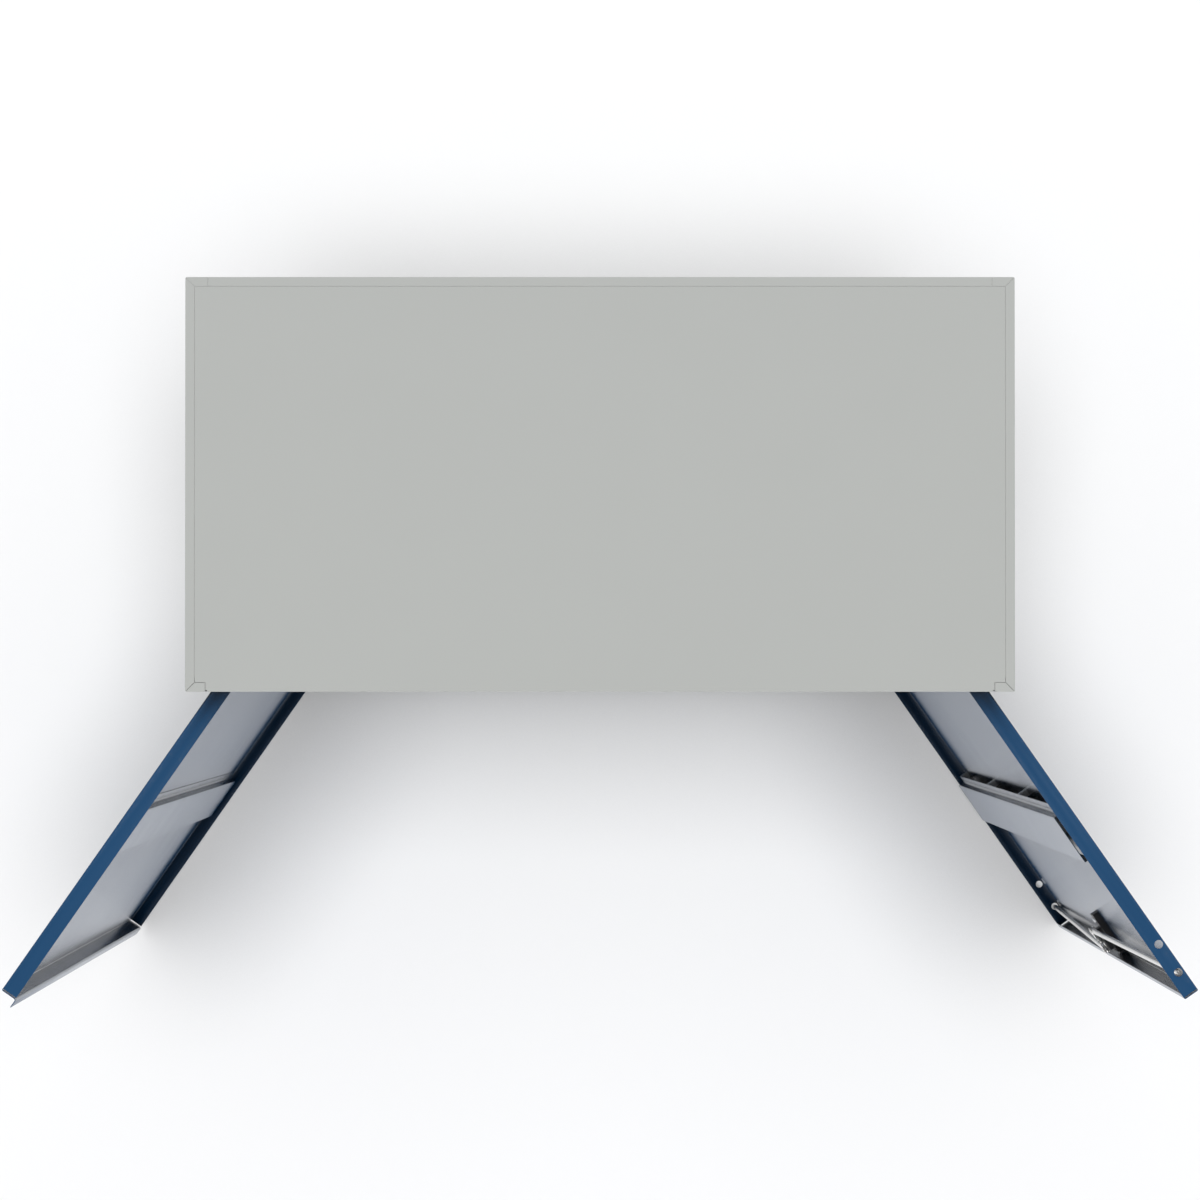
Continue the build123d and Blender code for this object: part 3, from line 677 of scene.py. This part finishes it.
pivotSet = {
    "pin": 4.0 * mm,
    "head": 6.0 * mm,
    "headHeight": 5.0 * mm,
    "reach": 10.0 * mm,
    "bore": 4.08 * mm,
    "flange": 7.0 * mm,
    "flangeHeight": 1.7 * mm,
    "shoulder": 0.08 * mm,
    "barrel": 5.58 * mm,
    "barrelHeight": 6.0 * mm,
    "edge": 0.4 * mm,
}


def pinMesh(p):
    # headed pin from its head's base up: the head sits inside the flange, the shaft stands out of it
    e = p["edge"]
    base = -p["headHeight"]
    return latheMesh([(0, base), (p["head"] - e, base), (p["head"], base + e), (p["head"], -e),
                      (p["head"] - e, 0), (p["pin"], 0), (p["pin"], p["reach"] - e),
                      (p["pin"] - e, p["reach"]), (0, p["reach"])])


def bushMesh(p):
    # flanged bush: the flange towards the door below 0, the barrel above
    e = p["edge"]
    base = -p["flangeHeight"]
    return spinMesh([(p["bore"], base), (p["flange"] - e, base), (p["flange"], base + e),
                     (p["flange"], -p["shoulder"]), (p["barrel"], 0), (p["barrel"], p["barrelHeight"] - e),
                     (p["barrel"] - e, p["barrelHeight"]), (p["bore"], p["barrelHeight"])])


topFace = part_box("top_panel")[0][2]
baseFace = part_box("base_panel")[1][2]
bushes = []
for side, door in doors:
    upper = shift(pinMesh(pivotSet), z=doorHigh - doorPanel["sheet"])
    lower = shift(flip(pinMesh(pivotSet)), z=doorLow + doorPanel["sheet"])
    makePiece(f"{side}PivotPins", atDoor(join(upper, lower), door), "zinc_steel", f"{side}_door",
              [f"{side}_pivot_pins"])
    bushes.append(shift(bushMesh(pivotSet), door[0][0], door[0][1], topFace))
    bushes.append(shift(flip(bushMesh(pivotSet)), door[0][0], door[0][1], baseFace))
makePiece("pivotBushes", join(*bushes), "bush_nylon", "cabinet", ["pivot_bushes"])
print("pivots made")


def atLock(shape):
    # from lock terms: along from the spindle, inward from the door's outer face, up from the spindle
    return atDoor(shift(shape, spindleAlong, outer, spindle[2]), right)


def lockBlock(u, w, z, corner, edge):
    # soft-edged block between two corners in lock terms
    block = softBlock((z[1] - z[0]) / 2, (u[1] - u[0]) / 2, corner, w[0], w[1], edge)
    return shift(turnToY(block), (u[0] + u[1]) / 2, 0, (z[0] + z[1]) / 2)


case = {
    "armEnd": -35 * mm,
    "block": (-15.5 * mm, 19.5 * mm),
    "toe": (19.5 * mm, 29 * mm),
    "deck": 10 * mm,                # height of the arm and the toe
    "top": 16.5 * mm,               # height of the block
    "half": 22 * mm,
    "blockHalf": 17 * mm,
    "corner": 2 * mm,
    "edge": 0.6 * mm,
    "tooth": 2.6 * mm,
    "rib": 1.1 * mm,
    "ribRise": 0.16 * mm,           # above the block, and below its top
    "ribSink": 0.6 * mm,
    "ribPlace": 13.64 * mm,         # above and below the spindle
    "ribInset": 1.5 * mm,
    "fineCorner": 0.5 * mm,
    "fineEdge": 0.3 * mm,
}


def caseMesh(p):
    # a low arm with a high block on it, two teeth on a lower toe, and two ribs over the block
    base = doorPanel["sheet"]
    full = (-p["half"], p["half"])
    whole = (p["armEnd"], p["toe"][1] - 2 * p["tooth"])
    middle = (-p["blockHalf"], p["blockHalf"])
    shapes = [lockBlock(whole, (base, p["deck"]), full, p["corner"], p["edge"]),
              lockBlock(p["block"], (base, p["top"]), middle, p["corner"], p["edge"])]
    for step in (-0.5, 1.5):
        start = p["toe"][0] + p["tooth"] * step
        shapes.append(lockBlock((start, start + p["tooth"]), (base, p["deck"]), full, p["fineCorner"],
                                p["fineEdge"]))
    toe = (p["toe"][0] - p["tooth"], p["toe"][1])
    shapes.append(lockBlock(toe, (base, p["deck"] - p["tooth"]), full, p["corner"], p["edge"]))
    ribLength = (p["block"][0] + p["ribInset"], p["block"][1] - p["ribInset"])
    ribHeights = (p["top"] - p["ribSink"], p["top"] + p["ribRise"])
    for z in (-p["ribPlace"], p["ribPlace"]):
        shapes.append(lockBlock(ribLength, ribHeights, (z - p["rib"] / 2, z + p["rib"] / 2), p["rib"] / 2,
                                p["fineEdge"]))
    return atLock(join(*shapes))


makePiece("lockCase", caseMesh(case), "black_plastic", "right_door", ["lock_case"])

screw = {
    "along": -25.25 * mm,
    "up": 11 * mm,
    "head": 3.8 * mm,
    "rise": 2.0 * mm,
    "crown": ((0.6, 1), (0.88, 0.72), (1, 0.3)),    # shares of the head's radius and rise
    "shank": 2.2 * mm,
    "recess": 1.5 * mm,
    "recessFloor": 0.9 * mm,
    "recessDepth": 1.2 * mm,
}


def screwMesh(p, seat):
    # pan head with a round recess, on a plain shank
    top = seat + p["rise"]
    crown = [(p["head"] * a, seat + p["rise"] * b) for a, b in p["crown"]]
    return turnToY(latheMesh([(0, top - p["recessDepth"]), (p["recessFloor"], top - p["recessDepth"]),
                              (p["recess"], top), *crown, (p["head"], seat), (p["shank"], seat),
                              (p["shank"], 0), (0, 0)]))


heads = [shift(screwMesh(screw, case["deck"]), screw["along"], 0, z) for z in (-screw["up"], screw["up"])]
makePiece("lockScrews", atLock(join(*heads)), "zinc_steel", "right_door", ["lock_screws"])

lever = {
    "arm": 15.3 * mm,
    "end": 6.8 * mm,                # radius of the round ends
    "waist": 4.9 * mm,
    "plate": 1.6 * mm,
    "level": 17.0 * mm,             # of the lower plate's outer face, in from the door's
    "eye": 3.4 * mm,
    "gap": 0.2 * mm,
    "pin": 3.0 * mm,
    "pinGap": 0.05 * mm,
    "square": 3.55 * mm,
    "squareCorner": 0.4 * mm,
    "hub": (5.0 * mm, 6.2 * mm),
    "hubEdge": 0.1 * mm,
    "edge": 0.7 * mm,
}
leverHigh = lever["level"] + 2 * lever["plate"] + lever["eye"] + 2 * lever["gap"]
rodLevel = (lever["level"] + leverHigh) / 2


def leverMesh(p):
    # two waisted plates with round ends, joined by a hub: the half width grows with the distance out
    turn = turnSteps(96)
    width = p["waist"] + (p["end"] - p["waist"]) * np.abs(np.cos(turn)) ** 1.5
    outline = np.column_stack([swell(np.sin(turn), 0.6) * width,
                               swell(np.cos(turn), 0.8) * (p["arm"] + p["end"])])
    holes = [circle(0, u, p["pin"] + p["pinGap"]) for u in (-p["arm"], p["arm"])]
    holes.append(roundedRectangle(p["square"], p["square"], p["squareCorner"]))
    shapes = []
    for low in (p["level"], leverHigh - p["plate"]):
        shapes.append(turnToY(plateMesh(outline[::-1], holes, low, low + p["plate"], p["edge"])))
    half = p["plate"] / 2
    shapes.append(turnToY(ringMesh(*p["hub"], p["level"] + half, leverHigh - half, p["hubEdge"])))
    return atLock(join(*shapes))


makePiece("rodLever", leverMesh(lever), "rod_steel", "handle", ["rod_lever"])

rivet = {"below": 0.2 * mm, "neck": 2.7 * mm, "head": 4.0 * mm, "rimRise": 0.6 * mm, "rise": 1.0 * mm}


def rivetMesh(p):
    # lever pin: chamfered foot, plain shaft, and a flat head over the upper plate
    r = lever["pin"]
    foot = lever["level"] - p["below"]
    return turnToY(latheMesh([(0, foot), (p["neck"], foot), (r, lever["level"]), (r, leverHigh),
                              (p["head"], leverHigh), (p["head"], leverHigh + p["rimRise"]),
                              (p["neck"], leverHigh + p["rise"]), (0, leverHigh + p["rise"])]))


pins = [shift(rivetMesh(rivet), u) for u in (-lever["arm"], lever["arm"])]
makePiece("leverPins", atLock(join(*pins)), "rod_steel", "handle", ["lever_pins"])

rod = {
    "radius": 3.5 * mm,
    "tip": 2.6 * mm,
    "tipLength": 26 * mm,
    "shoulder": 0.9 * mm,           # length of the step down to the tip
    "tongueStart": 4 * mm,
    "tongue": 11 * mm,              # end of the flat tongue, from the pin
    "wide": 4.3 * mm,
    "swage": 7 * mm,                # length over which the tongue becomes round
    "plainFrom": 60 * mm,
    "square": 0.45,                 # how square the tongue's section is: 1 is round
    "eye": 5.5 * mm,
    "bore": 3.08 * mm,
    "eyeEdge": 0.3 * mm,
    "lean": 0.035,                  # far end off the spindle's line, as a share of the lever arm
    "edge": 0.5 * mm,
}


def rodMesh(direction, face, p):
    # round bar from its pin to its hole: flat tongue, swaged shoulder, thin chamfered tip, and a ring eye
    start = np.array([-direction * lever["arm"], rodLevel, 0.0])
    end = np.array([direction * p["lean"] * lever["arm"], -outer, face - spindle[2]])
    length = np.linalg.norm(end - start)
    way = (end - start) / length
    wide = np.cross(way, [0.0, 1.0, 0.0])
    wide /= np.linalg.norm(wide)
    deep = np.cross(way, wide)
    thin = length - p["tipLength"]
    flat = lever["eye"] / 2
    tipEnds = [thin, thin + p["shoulder"], length - p["edge"], length]
    stations = np.concatenate([[p["tongueStart"], p["tongue"]],
                               p["tongue"] + p["swage"] * np.linspace(0.1, 1, 9),
                               np.linspace(p["plainFrom"], thin - 1 * mm, 12), tipEnds])
    grow = np.clip((stations - p["tongue"]) / p["swage"], 0, 1)
    grow = grow * grow * (3 - 2 * grow)
    thinner = np.interp(stations, tipEnds, [p["radius"], p["tip"], p["tip"], p["tip"] - p["edge"]])
    a = np.where(stations < thin, p["wide"] + (p["radius"] - p["wide"]) * grow, thinner)
    b = np.where(stations < thin, flat + (p["radius"] - flat) * grow, thinner)
    power = np.where(stations < thin, p["square"] + (1 - p["square"]) * grow, 1.0)
    turn = turnSteps(36)
    across = a[:, None] * swell(np.cos(turn), power[:, None])
    through = b[:, None] * swell(np.sin(turn), power[:, None])
    rings = start + way * stations[:, None, None] + wide * across[:, :, None] + deep * through[:, :, None]
    eye = turnToY(ringMesh(p["bore"], p["eye"], -flat, flat, p["eyeEdge"]))
    return atLock(join(stackMesh(rings), shift(eye, *start)))


makePiece("topRod", rodMesh(1, doorHigh, rod), "rod_steel", "top_rod", ["top_rod"])
makePiece("bottomRod", rodMesh(-1, doorLow, rod), "rod_steel", "bottom_rod", ["bottom_rod"])

nut = {
    "radius": 4.9 * mm,
    "rise": 1.0 * mm,
    "head": 3.8 * mm,
    "headRise": 1.0 * mm,
    "washerShape": ((1, 0), (1, 0.8), (0.94, 1)),                       # shares of radius and rise
    "headShape": ((1, 0), (0.9, 0.8), (0.5, 1), (0.4, 0.3), (0, 0.3)),  # shares of head and its rise
}


def nutMesh(p):
    # washer with a dished screw head on it, over the lever
    step = leverHigh + p["rise"]
    washer = [(p["radius"] * a, leverHigh + p["rise"] * b) for a, b in p["washerShape"]]
    head = [(p["head"] * a, step + p["headRise"] * b) for a, b in p["headShape"]]
    return turnToY(latheMesh([(0, leverHigh), *washer, *head]))


makePiece("spindleNut", atLock(nutMesh(nut)), "zinc_steel", "handle", ["spindle_nut"])
print("lock made")


grip = {
    "half": 45 * mm,
    "wide": 11 * mm,
    "waist": 0.8,                   # width at the middle, as a share of the width at the ends
    "low": -31.4 * mm,              # outermost, from the door's outer face
    "high": -11.4 * mm,
    "face": -5.4 * mm,
    "nose": 14 * mm,                # length over which the ends close
    "noseEnd": 0.0004,              # keeps the last section open
    "square": 0.7,                  # how square a section is: 1 is round
    "hub": 15 * mm,
    "hubEdge": 0.6 * mm,
    "bore": 8.05 * mm,
    "barrelDepth": 16 * mm,
    "spindleBore": 5.1 * mm,
    "edge": 2.2 * mm,
}


def wingsMesh(p):
    # superellipse sections carried along the handle, a little slimmer at the middle, to round noses
    along = p["half"] * np.sin(np.linspace(-1, 1, 49) * quarterTurn)
    room = np.clip((p["half"] - np.abs(along)) / p["nose"], 0, 1)
    nose = np.sqrt(np.clip(1 - (1 - room) ** 2, p["noseEnd"], 1))
    wide = p["wide"] * (p["waist"] + (1 - p["waist"]) * np.abs(along / p["half"])) * nose
    deep = (p["high"] - p["low"]) / 2 * nose
    turn = turnSteps(40)
    up = wide[:, None] * swell(np.cos(turn), p["square"])
    inward = (p["high"] + p["low"]) / 2 + deep[:, None] * swell(np.sin(turn), p["square"])
    return stackMesh(np.stack([along[:, None] + 0 * turn, inward, up], axis=-1))


def roundedRim(radius, low, edge, steps):
    # quarter circle of radius edge from the outer face at low round to the side at radius
    arc = np.linspace(0, quarterTurn, steps)
    return [(radius - edge + edge * math.sin(a), low + edge - edge * math.cos(a)) for a in arc]


def hubMesh(p):
    # round hub bored for the barrel from outside and for the spindle behind it
    deep = p["low"] + p["barrelDepth"]
    section = [(p["bore"], deep), (p["bore"], p["low"]), *roundedRim(p["hub"], p["low"], p["edge"], 6),
               (p["hub"], p["face"] - p["hubEdge"]), (p["hub"] - p["hubEdge"], p["face"]),
               (p["spindleBore"], p["face"]), (p["spindleBore"], deep)]
    return turnToY(spinMesh(section, 56))


turnHandle = atLock(join(wingsMesh(grip), hubMesh(grip)))
makePiece("turnHandle", turnHandle, "black_plastic", "handle", ["turn_handle"])

rose = {"radius": 24 * mm, "depth": 5 * mm, "bore": 5.1 * mm, "edge": 2.5 * mm}


def roseMesh(p):
    # flat round plate on the door with a softly rounded rim
    rim = roundedRim(p["radius"], -p["depth"], p["edge"], 8)
    return turnToY(spinMesh([(p["bore"], 0), (p["bore"], -p["depth"]), *rim, (p["radius"], 0)], 72))


makePiece("handleRose", atLock(roseMesh(rose)), "black_plastic", "right_door", ["handle_rose"])

cylinder = {
    "barrel": 8.0 * mm,
    "barrelProud": 0.3 * mm,
    "barrelEnd": 15 * mm,           # behind the grip's outermost face
    "barrelEdge": 0.4 * mm,
    "gap": 0.08 * mm,
    "plug": 5.0 * mm,
    "plugProud": 0.8 * mm,
    "plugLength": 15.4 * mm,
    "plugEdge": 0.25 * mm,
    "slot": (3.0 * mm, 0.8 * mm),   # half width and half height of the keyhole
    "slotCorner": 0.5 * mm,
    "slotDepth": 9 * mm,
}


def barrelMesh(p):
    # sleeve round the plug, standing a little out of the grip
    low = grip["low"]
    return turnToY(ringMesh(p["plug"] + p["gap"], p["barrel"], low - p["barrelProud"], low + p["barrelEnd"],
                            p["barrelEdge"], 56))


def plugMesh(p):
    # round plug: a front with the keyhole through it, and a solid back behind the keyhole
    top = grip["low"] - p["plugProud"]
    deep = top + p["slotDepth"]
    end = top + p["plugLength"]
    keyhole = roundedRectangle(*p["slot"], p["slotCorner"])
    front = plateMesh(circle(0, 0, p["plug"], 64), [keyhole], top, deep, p["plugEdge"])
    back = latheMesh([(0, deep), (p["plug"], deep), (p["plug"], end), (0, end)])
    return turnToY(join(front, back))


makePiece("lockBarrel", atLock(barrelMesh(cylinder)), "lock_chrome", "handle", ["lock_barrel"])
makePiece("lockPlug", atLock(plugMesh(cylinder)), "lock_chrome", "cylinder", ["lock_plug"])
print("handle made")


glide = {
    "radius": 11 * mm,
    "shape": ((0, 0), (0.82, 0), (0.93, 0.5), (1, 1.6), (1, 5.4), (0.94, 6.2), (0.94, 8)),
    "stem": 3 * mm,
    "stemHeight": 11 * mm,
}


def glideMesh(p):
    # rounded foot with a plain stem, from the floor up: shares of the radius, and millimetres up
    foot = [(p["radius"] * share, up * mm) for share, up in p["shape"]]
    stem = [(p["stem"], foot[-1][1]), (p["stem"], p["stemHeight"]), (0, p["stemHeight"])]
    return latheMesh([*foot, *stem], 48)


low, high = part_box("floor_glides")
inset = glide["radius"]
feet = [shift(glideMesh(glide), x, y) for x in (low[0] + inset, high[0] - inset)
        for y in (low[1] + inset, high[1] - inset)]
makePiece("floorGlides", join(*feet), "glide_plastic", "cabinet", ["floor_glides"])

pad = {
    "wide": 12 * mm,
    "high": 9 * mm,
    "corner": 2.5 * mm,
    "round": 0.6 * mm,
    "places": (60 * mm, 380 * mm),  # inner edges, either side of the middle
}
low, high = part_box("door_buffers")
block = turnToY(softBlock(pad["high"] / 2, pad["wide"] / 2, pad["corner"], low[1], high[1], pad["round"]))
pads = [shift(block, side * (x + pad["wide"] / 2), 0, z) for x in pad["places"]
        for z in (low[2] + pad["high"] / 2, high[2] - pad["high"] / 2) for side in (-1, 1)]
makePiece("doorBuffers", join(*pads), "buffer_rubber", "cabinet", ["door_buffers"])
print("small parts made")
